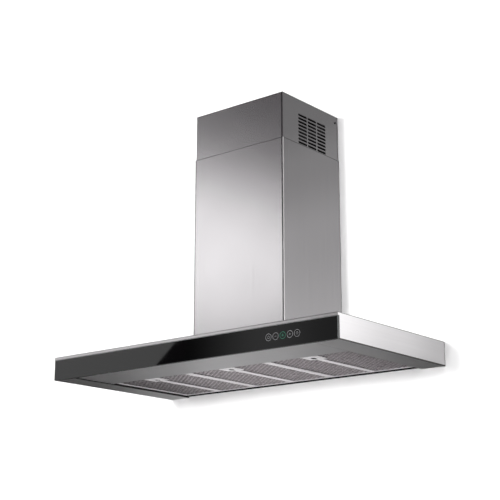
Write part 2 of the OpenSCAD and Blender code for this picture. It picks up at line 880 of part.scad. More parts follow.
module upper_chimney() {
    color(steel) difference() {
        translate([0, 0, upper_bottom]) linear_extrude(upper_h) channel(upper_w, upper_front, upper_back);
        along_x(-upper_w / 2 - 1, upper_w + 2) vent();
        x_rod(screw_r + screw_gap, -upper_w / 2 - 1, upper_w / 2 + 1, -screw_y, screw_z);
    }
}

// Half of the bracket seen from above: wall plate, step, and ear along the cover's side.
module bracket_half_outline() {
    step_y = -bracket_step - bracket_t;
    rect(0, bracket_half, -bracket_t, 0);
    rect(bracket_half - bracket_t, bracket_half, step_y, 0);
    rect(bracket_half - bracket_t, upper_inner, step_y, -bracket_step);
    rect(upper_inner - bracket_t, upper_inner, step_y - bracket_ear, -bracket_step);
}

module chimney_bracket() {
    color(zinc) difference() {
        translate([0, 0, screw_z - bracket_h / 2]) linear_extrude(bracket_h) {
            bracket_half_outline();
            mirror([1, 0]) bracket_half_outline();
        }
        for (s = [-1, 1]) y_rod(wall_hole_r, s * bracket_hole_x / 2, -2 * bracket_t, 1, screw_z);
        x_rod(screw_r + screw_gap, -upper_w, upper_w, -screw_y, screw_z);
    }
}

module chimney_screws() {
    reach = upper_inner - 2 * bracket_t;
    color(zinc) for (m = [0, 1]) mirror([m, 0, 0]) {
        x_rod(screw_r, reach - 2, upper_w / 2 + e, -screw_y, screw_z);
        x_rod(pan_head_r, upper_w / 2, upper_w / 2 + pan_head_h, -screw_y, screw_z);
    }
}

// ---- blower box ----

module blower_screw_places() {
    for (x = [-1, 1], y = [-box_d + 30, -40])
        translate([x * (box_w / 2 + box_foot / 2), y, hood_h]) children();
}

module scroll_screw_places() {
    for (x = [-1, 1], y = [neck_front_y() + 18, -30])
        translate([x * (outer_half + neck_fold / 2), y, box_ceiling]) children();
}

module blower_box() {
    w = box_w / 2;
    color(zinc) difference() {
        union() {
            block(-w, w, -box_d, 0, hood_h, box_top);
            block(-w - box_foot, w + box_foot, -box_d - box_foot, -20, hood_h, hood_h + sheet);
        }
        block(-w + sheet, w - sheet, -box_d + sheet, -sheet, hood_h - 1, box_ceiling);
        z_rod(outlet_hole_r, 0, -collar_y, box_ceiling - 1, box_top + 1);
        z_rod(gland_r + screw_gap, gland_x, gland_y, box_ceiling - 1, box_top + 1);
        for (s = [-1, 1])
            y_rod(wall_hole_r, s * box_hole_x / 2, -2 * sheet, 1, box_top - box_hole_drop);
        blower_screw_places() z_rod(screw_r + screw_gap, 0, 0, -1, 2 * sheet);
        scroll_screw_places() z_rod(screw_r + screw_gap, 0, 0, -1, 2 * sheet);
        collar_screw_places() z_rod(screw_r + screw_gap, 0, 0, -2 * sheet, 1);
    }
}

module blower_screws() {
    color(zinc) {
        blower_screw_places() translate([0, 0, sheet]) mirror([0, 0, 1]) screw_up(3 * sheet);
        scroll_screw_places() translate([0, 0, -scroll_wall]) screw_up(scroll_wall + sheet);
    }
}

// ---- scroll housing ----

// Radius of the scroll's inside at an angle from the rear, growing from the tongue.
function spiral_r(a) = tongue_r * exp(scroll_growth * (a - tongue_angle));
function neck_front_y() = -axis_y - tongue_y;
function spiral_start(extra) = 180 - acos((tongue_y + extra) / (tongue_r + extra));
function spiral_points(extra) = [
    for (k = [0 : 30])
        let (a0 = spiral_start(extra), a = a0 + (360 - a0) * k / 30, r = spiral_r(a) + extra)
        [r * cos(a), r * sin(a)]
];

// Inside of the scroll (extra = 0) or its outside, around the blower axis.
module scroll_outline(extra) {
    polygon(concat(
        spiral_points(extra),
        [[neck_rear + extra, neck_top], [-tongue_y - extra, neck_top]]
    ));
}

module at_axis() {
    translate([0, -axis_y, axis_at]) children();
}

// Inlet with a rounded mouth, around X, seen from the outer face of the scroll.
module mouth_profile() {
    difference() {
        translate([inlet_r + mouth_r, mouth_r]) ring(mouth_r - 1.5, mouth_r);
        rect(inlet_r + mouth_r, inlet_r + 3 * mouth_r, -1, 3 * mouth_r);
        rect(0, inlet_r + 3 * mouth_r, mouth_r, 3 * mouth_r);
    }
}

// Right half of the housing: side wall with its inlet, rim, and flange on top.
module scroll_half() {
    at_axis() {
        difference() {
            union() {
                along_x(0, outer_half) scroll_outline(scroll_wall);
                along_x(0, outer_half + neck_fold)
                    rect(-tongue_y - scroll_wall - neck_fold, neck_rear, neck_top - scroll_wall, neck_top);
            }
            along_x(-1, inner_half + 1) scroll_outline(0);
            along_x(-1, inner_half + 1) rect(-tongue_y, neck_rear, neck_top - 10, neck_top + 1);
            x_rod(inlet_r + mouth_r - e, inner_half - 1, outer_half + 1, 0, 0);
            for (a = foot_angles) rotate([a, 0, 0])
                x_rod(screw_r, inner_half - 1, outer_half + 1, (foot_r0 + foot_r1) / 2, 0);
            translate([0, axis_y, -axis_at]) scroll_screw_places()
                z_rod(screw_r + screw_gap, 0, 0, -2 * scroll_wall, 1);
        }
        translate([outer_half, 0, 0]) rotate([0, -90, 0]) rotate_extrude($fn = 96) mouth_profile();
    }
}

module scroll_right() {
    color(plastic_black) scroll_half();
}

module scroll_left() {
    color(plastic_black) mirror([1, 0, 0]) scroll_half();
}

// Finger guard of concentric rings and four spokes, as (Y, Z) around the axis.
module guard_rings(r_in) {
    ring(guard_out - 4, guard_out);
    for (r = [r_in : guard_pitch : guard_out - 8]) ring(r, r + 2);
    for (a = [45, 135, 225, 315]) rotate(a) rect(r_in, guard_out - 1, -1.5, 1.5);
}

module inlet_guard_right() {
    color(zinc) at_axis() along_x(outer_half, guard_t) {
        guard_rings(14);
        ring(6, 16);
    }
}

module inlet_guard_left() {
    color(zinc) at_axis() along_x(-outer_half - guard_t, guard_t) guard_rings(clamp_out + 2);
}

// ---- motor and impeller ----

module motor() {
    color(steel_dark) at_axis() difference() {
        union() {
            x_rod(motor_r, motor_x0 + 8, motor_x1 - 6, 0, 0);
            x_rod(motor_r - 4, motor_x0 + 3, motor_x1, 0, 0);
            x_rod(16, motor_x0, motor_x1 + 4, 0, 0);
        }
        x_rod(shaft_r + shaft_gap, shaft_x0, motor_x1 + 5, 0, 0);
        // Cooling slots in both end shields
        for (a = [0 : 30 : 330]) rotate([a, 0, 0]) {
            block(motor_x0 - 1, motor_x0 + 6, 21, 33, -2, 2);
            block(motor_x1 - 3, motor_x1 + 1, 21, 33, -2, 2);
        }
    }
}

module motor_bracket() {
    color(zinc) at_axis() {
        along_x(clamp_x0, clamp_len) ring(clamp_in, clamp_out);
        for (a = foot_angles) rotate([a, 0, 0]) difference() {
            union() {
                block(clamp_x0, clamp_x0 + clamp_len, clamp_out - 1, foot_r1, -2, 2);
                block(clamp_x0 + clamp_len - 2, -outer_half, foot_r0, foot_r1, -5, 5);
            }
            x_rod(screw_r + screw_gap, clamp_x0 + clamp_len - 1, -outer_half + 1,
                (foot_r0 + foot_r1) / 2, 0);
        }
    }
}

module motor_shaft() {
    color(steel_dark) at_axis() x_rod(shaft_r, shaft_x0 + 1, shaft_x1, 0, 0);
}

function blade_angle(u) = blade_sweep * u * u;
function blade_edge(side) = [
    for (k = [0 : 4]) let (u = k / 4, r = blade_in_r + (impeller_r - blade_in_r - 0.5) * u,
        a = blade_angle(u) + side * blade_t / r * 90 / PI)
        [r * cos(a), r * sin(a)]
];
module blade() {
    inner = blade_edge(-1);
    outer = blade_edge(1);
    polygon(concat(inner, [for (k = [4 : -1 : 0]) outer[k]]));
}

module impeller() {
    w = impeller_w / 2;
    color(plastic_grey) at_axis() difference() {
        union() {
            for (k = [0 : blades - 1]) rotate([k * 360 / blades, 0, 0])
                along_x(-w + 1, impeller_w - 2) blade();
            for (x = [-w, w - 2]) along_x(x, 2) ring(blade_in_r, impeller_r);
            x_rod(impeller_r, -1, 1, 0, 0);
            x_rod(hub_r, hub_x0, hub_x1, 0, 0);
        }
        x_rod(shaft_r + grip_gap, hub_x0 - 1, hub_x1 + 1, 0, 0);
        for (a = [0 : 60 : 300]) rotate([a, 0, 0]) x_rod(8, -2, 2, 36, 0);
    }
}

// Spring clip on the shaft, against the hub.
module shaft_clip() {
    color(spring_steel) at_axis() along_x(hub_x1, 1) difference() {
        ring(shaft_r + grip_gap, shaft_r + 4);
        rect(0, shaft_r + 5, -1.5, 1.5);
    }
}

module capacitor() {
    color(plastic_white) {
        x_rod(capacitor_r, -capacitor_len / 2, capacitor_len / 2, capacitor_y, capacitor_z);
        x_rod(capacitor_r - 4, capacitor_len / 2 - e, capacitor_len / 2 + 4, capacitor_y, capacitor_z);
    }
}

module capacitor_clip() {
    wall_y = -box_d + sheet;
    color(zinc) along_x(-8, 16) difference() {
        union() {
            translate([capacitor_y, capacitor_z]) circle(capacitor_r + screw_gap + 1.2);
            rect(wall_y, capacitor_y, capacitor_z - 10, capacitor_z + 10);
        }
        translate([capacitor_y, capacitor_z]) circle(capacitor_r + screw_gap);
        rect(capacitor_y, capacitor_y + 2 * capacitor_r, capacitor_z - 6, capacitor_z + 6);
        rect(wall_y - capacitor_r, wall_y, capacitor_z - 2 * capacitor_r, capacitor_z + 2 * capacitor_r);
    }
}

// ---- outlet ----

module collar_screw_places() {
    r = collar_r + collar_flange / 2;
    for (a = [45 : 90 : 315])
        translate([r * cos(a), -collar_y + r * sin(a), box_top]) children();
}

module outlet_collar() {
    ledge_top = axle_z - flap_t / 2 - run_gap;
    color(plastic_black) difference() {
        union() {
            intersection() {
                z_rod(collar_r + collar_flange, 0, -collar_y, box_top, box_top + 2);
                block(-box_w, box_w, -box_d, -sheet, box_top, box_top + 3);
            }
            z_rod(collar_r, 0, -collar_y, box_top, box_top + collar_h);
        }
        z_rod(collar_in, 0, -collar_y, ledge_top, box_top + collar_h + 1);
        z_rod(outlet_hole_r, 0, -collar_y, box_top - 1, ledge_top + 1);
        z_rod(collar_in, 0, -collar_y, box_top - 1, ledge_top - 2);
        x_rod(axle_r + screw_gap, -collar_r - 1, collar_r + 1, -collar_y, axle_z);
        collar_screw_places() z_rod(screw_r + screw_gap, 0, 0, -1, 3);
    }
}

module collar_screws() {
    color(zinc) collar_screw_places() translate([0, 0, 2]) mirror([0, 0, 1]) screw_up(2 + 2 * sheet);
}

module damper_axle() {
    color(spring_steel) x_rod(axle_r, -collar_r, collar_r, -collar_y, axle_z);
}

// Half-round flap behind the axle, with two knuckles at the given places.
module damper_flap(places) {
    r = collar_in - flap_gap;
    translate([0, -collar_y, axle_z]) difference() {
        union() {
            translate([0, 0, -flap_t / 2]) linear_extrude(flap_t) difference() {
                circle(r);
                rect(-r - 1, r + 1, -r - 1, flap_edge);
            }
            for (x = places) {
                x_rod(knuckle_out, x, x + knuckle_w, 0, 0);
                block(x, x + knuckle_w, 0, flap_edge + 1, -flap_t / 2, flap_t / 2);
            }
        }
        x_rod(knuckle_in, -r, r, 0, 0);
    }
}

module damper_rear() {
    color(plastic_grey) damper_flap([-2 * knuckle_step, knuckle_step + knuckle_gap]);
}

module damper_front() {
    color(plastic_grey) translate([0, -2 * collar_y, 0]) mirror([0, 1, 0])
        damper_flap([-3 * knuckle_step, knuckle_gap]);
}

module cable_gland() {
    color(plastic_black) translate([gland_x, gland_y, 0]) difference() {
        union() {
            z_rod(gland_r, 0, 0, box_ceiling - 9, box_top + 10);
            translate([0, 0, box_top]) cylinder(h = 6, r = gland_r + 4, $fn = 6);
            translate([0, 0, box_ceiling - 6]) cylinder(h = 6, r = gland_r + 4, $fn = 6);
            translate([0, 0, box_top + 10]) cylinder(h = 8, r1 = gland_r, r2 = gland_r - 3);
        }
        z_rod(cable_r, 0, 0, box_ceiling - 10, box_top + 19);
    }
}

canopy_shell();
front_glass();
glass_tape();
bottom_panel();
filter_rail();
control_housing();
touch_board();
touch_pads();
power_box();
power_board();
power_cover();
blower_box();
blower_screws();
scroll_left();
scroll_right();
inlet_guard_left();
inlet_guard_right();
motor_bracket();
motor();
motor_shaft();
impeller();
shaft_clip();
capacitor();
capacitor_clip();
outlet_collar();
collar_screws();
damper_axle();
damper_front();
damper_rear();
cable_gland();
lower_chimney();
lower_chimney_screws();
upper_chimney();
chimney_bracket();
chimney_screws();
filter_frame(0);  // filter_frame_left
filter_frame(1);  // filter_frame_centre
filter_frame(2);  // filter_frame_right
filter_mesh(0);  // filter_mesh_left
filter_mesh(1);  // filter_mesh_centre
filter_mesh(2);  // filter_mesh_right
filter_latch(0);  // filter_latch_left
filter_latch(1);  // filter_latch_centre
filter_latch(2);  // filter_latch_right
latch_spring(0);  // latch_spring_left
latch_spring(1);  // latch_spring_centre
latch_spring(2);  // latch_spring_right
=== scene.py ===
import bpy
import math
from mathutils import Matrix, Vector


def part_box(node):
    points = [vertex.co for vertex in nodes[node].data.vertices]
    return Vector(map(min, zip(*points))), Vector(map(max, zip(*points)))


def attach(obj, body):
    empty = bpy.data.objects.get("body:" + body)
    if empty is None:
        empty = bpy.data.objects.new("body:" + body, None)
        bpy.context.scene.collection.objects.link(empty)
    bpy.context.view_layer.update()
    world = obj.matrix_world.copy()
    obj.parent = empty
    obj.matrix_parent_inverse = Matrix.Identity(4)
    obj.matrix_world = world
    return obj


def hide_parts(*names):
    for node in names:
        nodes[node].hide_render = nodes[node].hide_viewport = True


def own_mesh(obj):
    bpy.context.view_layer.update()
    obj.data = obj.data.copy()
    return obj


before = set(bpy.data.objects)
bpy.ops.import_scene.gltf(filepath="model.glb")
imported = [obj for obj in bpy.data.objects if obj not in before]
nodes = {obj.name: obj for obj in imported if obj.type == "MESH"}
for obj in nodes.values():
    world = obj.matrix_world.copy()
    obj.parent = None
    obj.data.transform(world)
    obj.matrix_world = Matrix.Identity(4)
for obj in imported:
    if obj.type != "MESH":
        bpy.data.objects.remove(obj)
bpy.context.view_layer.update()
scene = bpy.context.scene
scene.view_settings.view_transform = "Standard"

FILTERS = ("left", "centre", "right")


def new_object(name, data):
    made = bpy.data.objects.new(name, data)
    scene.collection.objects.link(made)
    return made


# ---- camera ----

camera_data = bpy.data.cameras.new("camera")
camera_data.sensor_width = 36
camera_data.lens = 89.4
camera_data.clip_end = 200
camera = new_object("camera", camera_data)
camera.location = (1.9633, -2.6100, -0.5134)
camera.rotation_euler = (math.radians(90 + 15.125), 0, math.radians(39.139))
scene.camera = camera


# ---- node materials ----

class Nodes:
    """A node tree and short ways to add to it."""

    def __init__(self, tree):
        self.tree = tree

    def add(self, kind, **values):
        node = self.tree.nodes.new("ShaderNode" + kind)
        for key, value in values.items():
            setattr(node, key, value)
        return node

    def join(self, source, target):
        self.tree.links.new(source, target)

    def maths(self, operation, *values):
        """A Math node over numbers and sockets."""
        node = self.add("Math", operation=operation)
        for index, value in enumerate(values):
            if isinstance(value, (int, float)):
                node.inputs[index].default_value = value
            else:
                self.join(value, node.inputs[index])
        return node.outputs[0]

    def chain(self, operation, first, *others):
        """One value from several, by an operation on two."""
        for other in others:
            first = self.maths(operation, first, other)
        return first

    def ray(self, fact):
        return self.add("LightPath").outputs[fact]

    def parts(self, vector):
        """X, Y and Z of a vector."""
        split = self.add("SeparateXYZ")
        self.join(vector, split.inputs[0])
        return split.outputs

    def span(self, value, low, high, source=(0.25, 0.75), **values):
        """From low to high, as value goes from one end of source to the other."""
        node = self.add("MapRange", **values)
        node.inputs["From Min"].default_value, node.inputs["From Max"].default_value = source
        node.inputs["To Min"].default_value, node.inputs["To Max"].default_value = low, high
        self.join(value, node.inputs["Value"])
        return node.outputs["Result"]

    def blend(self, factor, first, second):
        """Colour from first to second, each a colour or a socket."""
        node = self.add("Mix", data_type="RGBA")
        self.join(factor, node.inputs["Factor"])
        for index, colour in ((6, first), (7, second)):
            if isinstance(colour, tuple):
                node.inputs[index].default_value = (*colour, 1)
            else:
                self.join(colour, node.inputs[index])
        return node.outputs[2]


class Shader(Nodes):
    """A material for pieces of the hood. slot is the record's name for what it stands for."""

    def __init__(self, name, slot):
        self.material = bpy.data.materials.new(name)
        self.material.use_nodes = True
        super().__init__(self.material.node_tree)
        self.bsdf = self.tree.nodes["Principled BSDF"]
        self.slot = slot
        self.coords = None

    def put(self, **values):
        for key, value in values.items():
            self.bsdf.inputs[key.replace("_", " ").title().replace("Ior", "IOR")].default_value = value

    def place(self, scale=(1, 1, 1)):
        """Object coordinates, stretched."""
        if self.coords is None:
            self.coords = self.add("TexCoord").outputs["Object"]
        stretch = self.add("Mapping")
        stretch.inputs["Scale"].default_value = scale
        self.join(self.coords, stretch.inputs["Vector"])
        return stretch.outputs["Vector"]

    def axes(self):
        return self.parts(self.place())

    def noise(self, scale, detail=4.0):
        """Noise with scale grains to a metre, along each axis."""
        node = self.add("TexNoise")
        node.inputs["Scale"].default_value = 1.0
        node.inputs["Detail"].default_value = detail
        node.inputs["Roughness"].default_value = 0.55
        self.join(self.place(scale), node.inputs["Vector"])
        return node.outputs["Fac"]

    def colour(self, socket):
        self.join(socket, self.bsdf.inputs["Base Color"])

    def rough(self, socket):
        self.join(socket, self.bsdf.inputs["Roughness"])

    def bump(self, height, strength, distance, edge=0.0):
        """Relief, and edges that look rounded by a radius of edge."""
        node = self.add("Bump")
        node.inputs["Strength"].default_value = strength
        node.inputs["Distance"].default_value = distance
        self.join(height, node.inputs["Height"])
        if edge:
            bevel = self.add("Bevel", samples=4)
            bevel.inputs["Radius"].default_value = edge
            self.join(bevel.outputs["Normal"], node.inputs["Normal"])
        self.join(node.outputs["Normal"], self.bsdf.inputs["Normal"])

    def edges(self, radius):
        """1 along the edges of the sheet and 0 on its flat faces."""
        bevel = self.add("Bevel", samples=8)
        bevel.inputs["Radius"].default_value = radius
        flat = self.add("NewGeometry")
        turned = self.add("VectorMath", operation="DOT_PRODUCT")
        self.join(bevel.outputs["Normal"], turned.inputs[0])
        self.join(flat.outputs["Normal"], turned.inputs[1])
        return self.span(turned.outputs["Value"], 0.0, 1.0, (0.998, 0.95))


def shade(colour, share):
    return tuple(min(1.0, c * share) for c in colour)


def brushed(name, base, rough, lines, stretch_along, anisotropic=0.75, shaded_mouth=False, shade_bands=(), painted_highlight=None):
    """Brushed sheet. lines is the direction of the brush lines, stretch_along that of the highlights.

    The mouth argument paints near-black shade on the faces round the filters, in the recess behind them. The
    band argument lists bands of painted shade on the upright faces along a cut edge, a hem or a bend, each
    with its axis, its two limits there and its share of the colour. The highlight argument is a painted
    highlight on a bend, a near-white and partly matt band: beyond which X, before which Y, and how much of it
    is matt."""
    s = Shader(name, "brushed_steel")
    s.put(metallic=1.0, anisotropic=anisotropic)
    scratches = s.noise(tuple(25.0 if d else 2600.0 for d in lines), detail=3.0)
    streaks = s.noise(tuple(3.0 if d else 220.0 for d in lines), detail=2.0)
    smudge = s.noise((7.0, 7.0, 7.0), detail=3.0)
    tone = s.maths("ADD", s.maths("MULTIPLY", scratches, 0.5), s.maths("MULTIPLY", streaks, 0.5))
    colour = s.blend(s.span(tone, 0.0, 1.0, (0.3, 0.7)), shade(base, 0.965), shade(base, 1.02))
    # Painted shade: the steel is darker along the sheet's edges and bends
    colour = s.blend(s.edges(0.0022), colour, shade(base, 0.35))
    # Bands of painted shade along cut edges, hems and bends
    for axis, low, high, share in shade_bands:
        along = s.axes()[axis]
        upward = s.parts(s.add("TexCoord").outputs["Normal"])["Z"]
        band = s.chain("MULTIPLY", s.maths("LESS_THAN", s.maths("ABSOLUTE", upward), 0.5),
                       s.maths("GREATER_THAN", along, low), s.maths("LESS_THAN", along, high))
        colour = s.blend(band, colour, shade(base, share))
    # Painted highlight: a near-white, partly matt band along the bend
    if painted_highlight:
        beyond_x, before_y, matt = painted_highlight
        axes = s.axes()
        bright = s.chain("MULTIPLY", s.maths("GREATER_THAN", axes["X"], beyond_x),
                         s.maths("LESS_THAN", axes["Y"], before_y))
        colour = s.blend(bright, colour, (0.98, 0.96, 0.97))
        s.join(s.maths("SUBTRACT", 1.0, s.maths("MULTIPLY", bright, matt)), s.bsdf.inputs["Metallic"])
    if shaded_mouth:
        # Painted shade, near black, inside the canopy's ends, behind the bottom panel, off the back and off
        # the underside
        axes = s.axes()
        inner_x, panel_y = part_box("filter_rail")[1].x + 0.001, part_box("bottom_panel")[1].y
        back_y, low_z, high_z = -0.0004, 0.0001, 0.03
        mouth_shade = s.chain("MULTIPLY", s.maths("LESS_THAN", s.maths("ABSOLUTE", axes["X"]), inner_x),
                       s.maths("GREATER_THAN", axes["Y"], panel_y), s.maths("LESS_THAN", axes["Y"], back_y),
                       s.maths("GREATER_THAN", axes["Z"], low_z), s.maths("LESS_THAN", axes["Z"], high_z))
        colour = s.blend(mouth_shade, colour, (0.050, 0.047, 0.050))
    s.colour(colour)
    s.rough(s.maths("ADD", s.span(scratches, rough - 0.01, rough + 0.01), s.span(smudge, -0.006, 0.010)))
    direction = s.add("CombineXYZ")
    for socket, value in zip(direction.inputs, stretch_along):
        socket.default_value = value
    s.join(direction.outputs[0], s.bsdf.inputs["Tangent"])
    s.bump(scratches, 0.02, 0.0002, edge=0.0016)
    return s


canopy_low, canopy_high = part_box("canopy_shell")
lower_low, lower_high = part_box("lower_chimney")
upper_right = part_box("upper_chimney")[1].x
past = 0.001  # how far a band reaches past the end of the sheet
bend_shade_width, bend_highlight_width, bend_side = 0.0050, 0.0011, 0.0042  # widths of the painted shade beside a bend and of the painted highlight on it, and how far that highlight reaches along the side

cover_look = {"base": (0.74, 0.72, 0.735), "rough": 0.23, "lines": (0, 0, 1), "stretch_along": (1, 1, 0.02),
              "anisotropic": 0.5}
# Covers: bands of painted shade beside their bends and along the lower cover's top edge, and a painted
# highlight on the lower cover's right bend
steel_upper = brushed("brushed_steel_upper", **cover_look,
                      shade_bands=[("X", upper_right - bend_shade_width, upper_right - bend_highlight_width, 0.45)])
steel_lower = brushed("brushed_steel_lower", **cover_look,
                      shade_bands=[("Z", lower_high.z - 0.0014, lower_high.z + past, 0.4),
                            ("X", lower_low.x - past, lower_low.x + bend_shade_width, 0.6),
                            ("X", lower_high.x - bend_shade_width, lower_high.x - bend_highlight_width, 0.25)],
                      painted_highlight=(lower_high.x - bend_highlight_width, lower_low.y + bend_side, 0.5))
# Canopy: near-black painted shade round the filters' recess, and bands of painted shade along its lower and
# upper edges
steel_canopy = brushed("brushed_steel_canopy", (0.74, 0.725, 0.735), 0.30, (1, 1, 0), (0, 0.1, 1),
                       shaded_mouth=True, shade_bands=[("Z", -past, 0.0026, 0.10),
                                              ("Z", canopy_high.z - 0.0015, canopy_high.z + past, 0.30)])
steel_panel = brushed("brushed_steel_panel", (0.70, 0.69, 0.70), 0.34, (1, 0, 0), (0, 1, 0))


def satin(name, slot, base, rough, metallic):
    """Etched aluminium: part of its light is scattered, so it stays even and bright."""
    s = Shader(name, slot)
    s.put(metallic=metallic, ior=1.45)
    lines = s.noise((1400.0, 30.0, 1400.0), detail=2.0)
    cloud = s.noise((40.0, 40.0, 40.0))
    tone = s.maths("ADD", s.maths("MULTIPLY", lines, 0.6), s.maths("MULTIPLY", cloud, 0.4))
    s.colour(s.blend(s.span(tone, 0, 1), shade(base, 0.93), base))
    s.rough(s.span(lines, rough - 0.05, rough + 0.05))
    s.bump(lines, 0.05, 0.0002, edge=0.0004)
    return s


def galvanised():
    """Zinc-coated sheet with its flakes."""
    s = Shader("zinc_coated_sheet", "zinc_steel")
    s.put(metallic=1.0)
    cells = s.add("TexVoronoi", feature="F1")
    cells.inputs["Scale"].default_value = 1.0
    s.join(s.place((110, 110, 110)), cells.inputs["Vector"])
    flakes = s.maths("FRACT", s.maths("MULTIPLY", cells.outputs["Color"], 7.0))
    s.colour(s.blend(flakes, (0.50, 0.52, 0.54), (0.68, 0.70, 0.72)))
    s.rough(s.span(flakes, 0.34, 0.48, (0, 1)))
    s.bump(s.noise((900, 900, 900)), 0.05, 0.0002, edge=0.0004)
    return s


def plain_metal(name, slot, base, rough):
    s = Shader(name, slot)
    s.put(metallic=1.0)
    cloud = s.noise((60, 60, 60))
    s.colour(s.blend(s.span(cloud, 0, 1), shade(base, 0.88), base))
    s.rough(s.span(s.noise((400, 400, 400)), rough - 0.06, rough + 0.06))
    s.bump(s.noise((2500, 2500, 2500), detail=2.0), 0.05, 0.0002, edge=0.0003)
    return s


def moulded(name, slot, base, rough):
    s = Shader(name, slot)
    s.put(ior=1.48)
    cloud = s.noise((30, 30, 30))
    s.colour(s.blend(s.span(cloud, 0, 1), shade(base, 0.85), shade(base, 1.08)))
    grain = s.noise((900, 900, 900), detail=2.0)
    s.rough(s.span(grain, rough - 0.06, rough + 0.08))
    s.bump(grain, 0.12, 0.0002, edge=0.0004)
    return s


def board():
    """Circuit board with rows of tracks."""
    s = Shader("circuit_board", "circuit_board")
    s.put(ior=1.5)
    tracks = s.add("TexBrick")
    for name, value in (("Scale", 1.0), ("Mortar Size", 0.06), ("Color1", (0.02, 0.16, 0.07, 1)),
                        ("Color2", (0.03, 0.20, 0.09, 1)), ("Mortar", (0.07, 0.32, 0.14, 1))):
        tracks.inputs[name].default_value = value
    s.join(s.place((260, 260, 260)), tracks.inputs["Vector"])
    s.colour(tracks.outputs["Color"])
    s.rough(s.span(s.noise((300, 300, 300)), 0.25, 0.42))
    s.bump(tracks.outputs["Fac"], 0.2, 0.0002)
    return s


def glass_black():
    s = Shader("black_glass", "black_glass")
    s.put(ior=1.5)
    depth = s.noise((5, 5, 5), detail=1.0)
    s.colour(s.blend(s.span(depth, 0, 1), (0.0004, 0.0004, 0.0005), (0.0007, 0.0007, 0.0008)))
    s.rough(s.span(s.noise((14, 14, 30), detail=3.0), 0.012, 0.03))
    s.bump(s.noise((3, 3, 3), detail=0.0), 0.02, 0.002)
    return s


def glass_edge():
    s = Shader("polished_glass_edge", "black_glass")
    s.put(ior=1.5)
    bands = s.noise((40, 900, 900), detail=2.0)
    s.colour(s.blend(s.span(bands, 0, 1), (0.10, 0.11, 0.11), (0.18, 0.19, 0.19)))
    s.rough(s.span(bands, 0.10, 0.22))
    return s


def printed(name, base, light):
    """Print on the glass, with a little light of its own."""
    s = Shader(name, "black_glass")
    s.put(ior=1.45, emission_strength=light)
    speckle = s.noise((5000, 5000, 5000), detail=1.0)
    tone = s.blend(s.span(speckle, 0, 1), shade(base, 0.85), base)
    s.colour(tone)
    s.join(tone, s.bsdf.inputs["Emission Color"])
    s.rough(s.span(speckle, 0.30, 0.40))
    return s


def painted_end_shade(s, colour):
    """Painted shade that darkens the mesh towards the ends of the hood, where the light falls off."""
    x = s.axes()["X"]
    end_shade = s.maths("ADD", s.span(x, 0.62, 0.0, (-0.42, -0.13)), s.span(x, 0.0, 0.34, (0.27, 0.42)))
    return s.blend(end_shade, colour, (0.110, 0.102, 0.106))


def mesh_layer(name, crest, valley):
    """Folded layer of mesh: diamonds with dark openings, with painted shade that darkens it from the crest
    level to the valley level.
    """
    s = Shader(name, "mesh")
    s.put(metallic=0.85, ior=1.45)
    axes = s.axes()
    x = s.maths("MULTIPLY", axes["X"], 2 * math.pi / 0.0060)
    y = s.maths("MULTIPLY", axes["Y"], 2 * math.pi / 0.0030)
    waves = [s.maths("SINE", s.maths("MULTIPLY", s.maths(sign, x, y), 0.5)) for sign in ("ADD", "SUBTRACT")]
    strand = s.span(s.maths("ABSOLUTE", s.maths("MULTIPLY", *waves)), 1.0, 0.0, (0.10, 0.34))
    grey = s.blend(s.span(s.noise((35, 35, 35)), 0, 1), (0.78, 0.73, 0.755), (0.90, 0.845, 0.87))
    lit = s.blend(strand, (0.42, 0.388, 0.402), grey)
    # Painted shade in the folds: the layer darkens from its crests down to its valleys
    depth = s.span(axes["Z"], 0, 1, (crest, valley))
    s.colour(painted_end_shade(s, s.blend(depth, lit, (0.34, 0.313, 0.327))))
    s.rough(s.span(strand, 0.62, 0.40, (0, 1)))
    s.bump(strand, 0.6, 0.0006)
    return s


def strand_metal(name, crest=None, valley=None):
    """Strands of expanded mesh, with painted shade that darkens them from the crest level to the valley
    level.
    """
    s = Shader(name, "mesh")
    s.put(metallic=1.0)
    tint = s.noise((220, 220, 220), detail=3.0)
    colour = s.blend(s.span(tint, 0, 1), (0.80, 0.755, 0.775), (0.94, 0.89, 0.91))
    if crest:
        # Painted shade: the strands darken from the crest level down to the valley level
        colour = s.blend(s.span(s.axes()["Z"], 0, 1, (crest, valley)), colour, (0.68, 0.634, 0.659))
    s.colour(painted_end_shade(s, colour))
    s.rough(s.span(s.noise((90, 90, 90)), 0.24, 0.34))
    s.bump(tint, 0.25, 0.0003)
    return s


def felt():
    s = Shader("foam_tape", "foam")
    pores = s.noise((1600, 1600, 1600), detail=5.0)
    s.colour(s.blend(s.span(pores, 0, 1), (0.02, 0.02, 0.022), (0.07, 0.07, 0.075)))
    s.rough(s.span(pores, 0.8, 0.95))
    s.bump(pores, 0.5, 0.0004)
    return s


filter_metal = satin("filter_aluminium", "aluminium", (0.93, 0.905, 0.92), 0.50, 0.45)
zinc = galvanised()
# Near black: painted shade on the filter rail in the gap behind the filters and on the chimney bracket inside
# the chimney, and the chimney screws' own dark finish
black_steel_and_shade = plain_metal("blackened_steel_and_painted_shade", "steel_dark", (0.030, 0.029, 0.030), 0.50)
motor_steel = plain_metal("motor_steel", "motor_steel", (0.42, 0.43, 0.45), 0.42)
spring_steel = plain_metal("spring_steel", "spring_steel", (0.62, 0.61, 0.60), 0.28)
screw_metal = plain_metal("screw_metal", "zinc_steel", (0.55, 0.55, 0.56), 0.30)
black_plastic = moulded("black_plastic", "black_plastic", (0.020, 0.020, 0.022), 0.42)
grey_plastic = moulded("grey_plastic", "grey_plastic", (0.13, 0.135, 0.14), 0.45)
latch_plastic = moulded("latch_plastic", "grey_plastic", (0.030, 0.028, 0.030), 0.40)
white_plastic = moulded("white_plastic", "white_plastic", (0.72, 0.72, 0.69), 0.40)
green_board = board()
black_glass = glass_black()
edge_glass = glass_edge()
print_grey = printed("key_print", (0.17, 0.17, 0.175), 0.04)
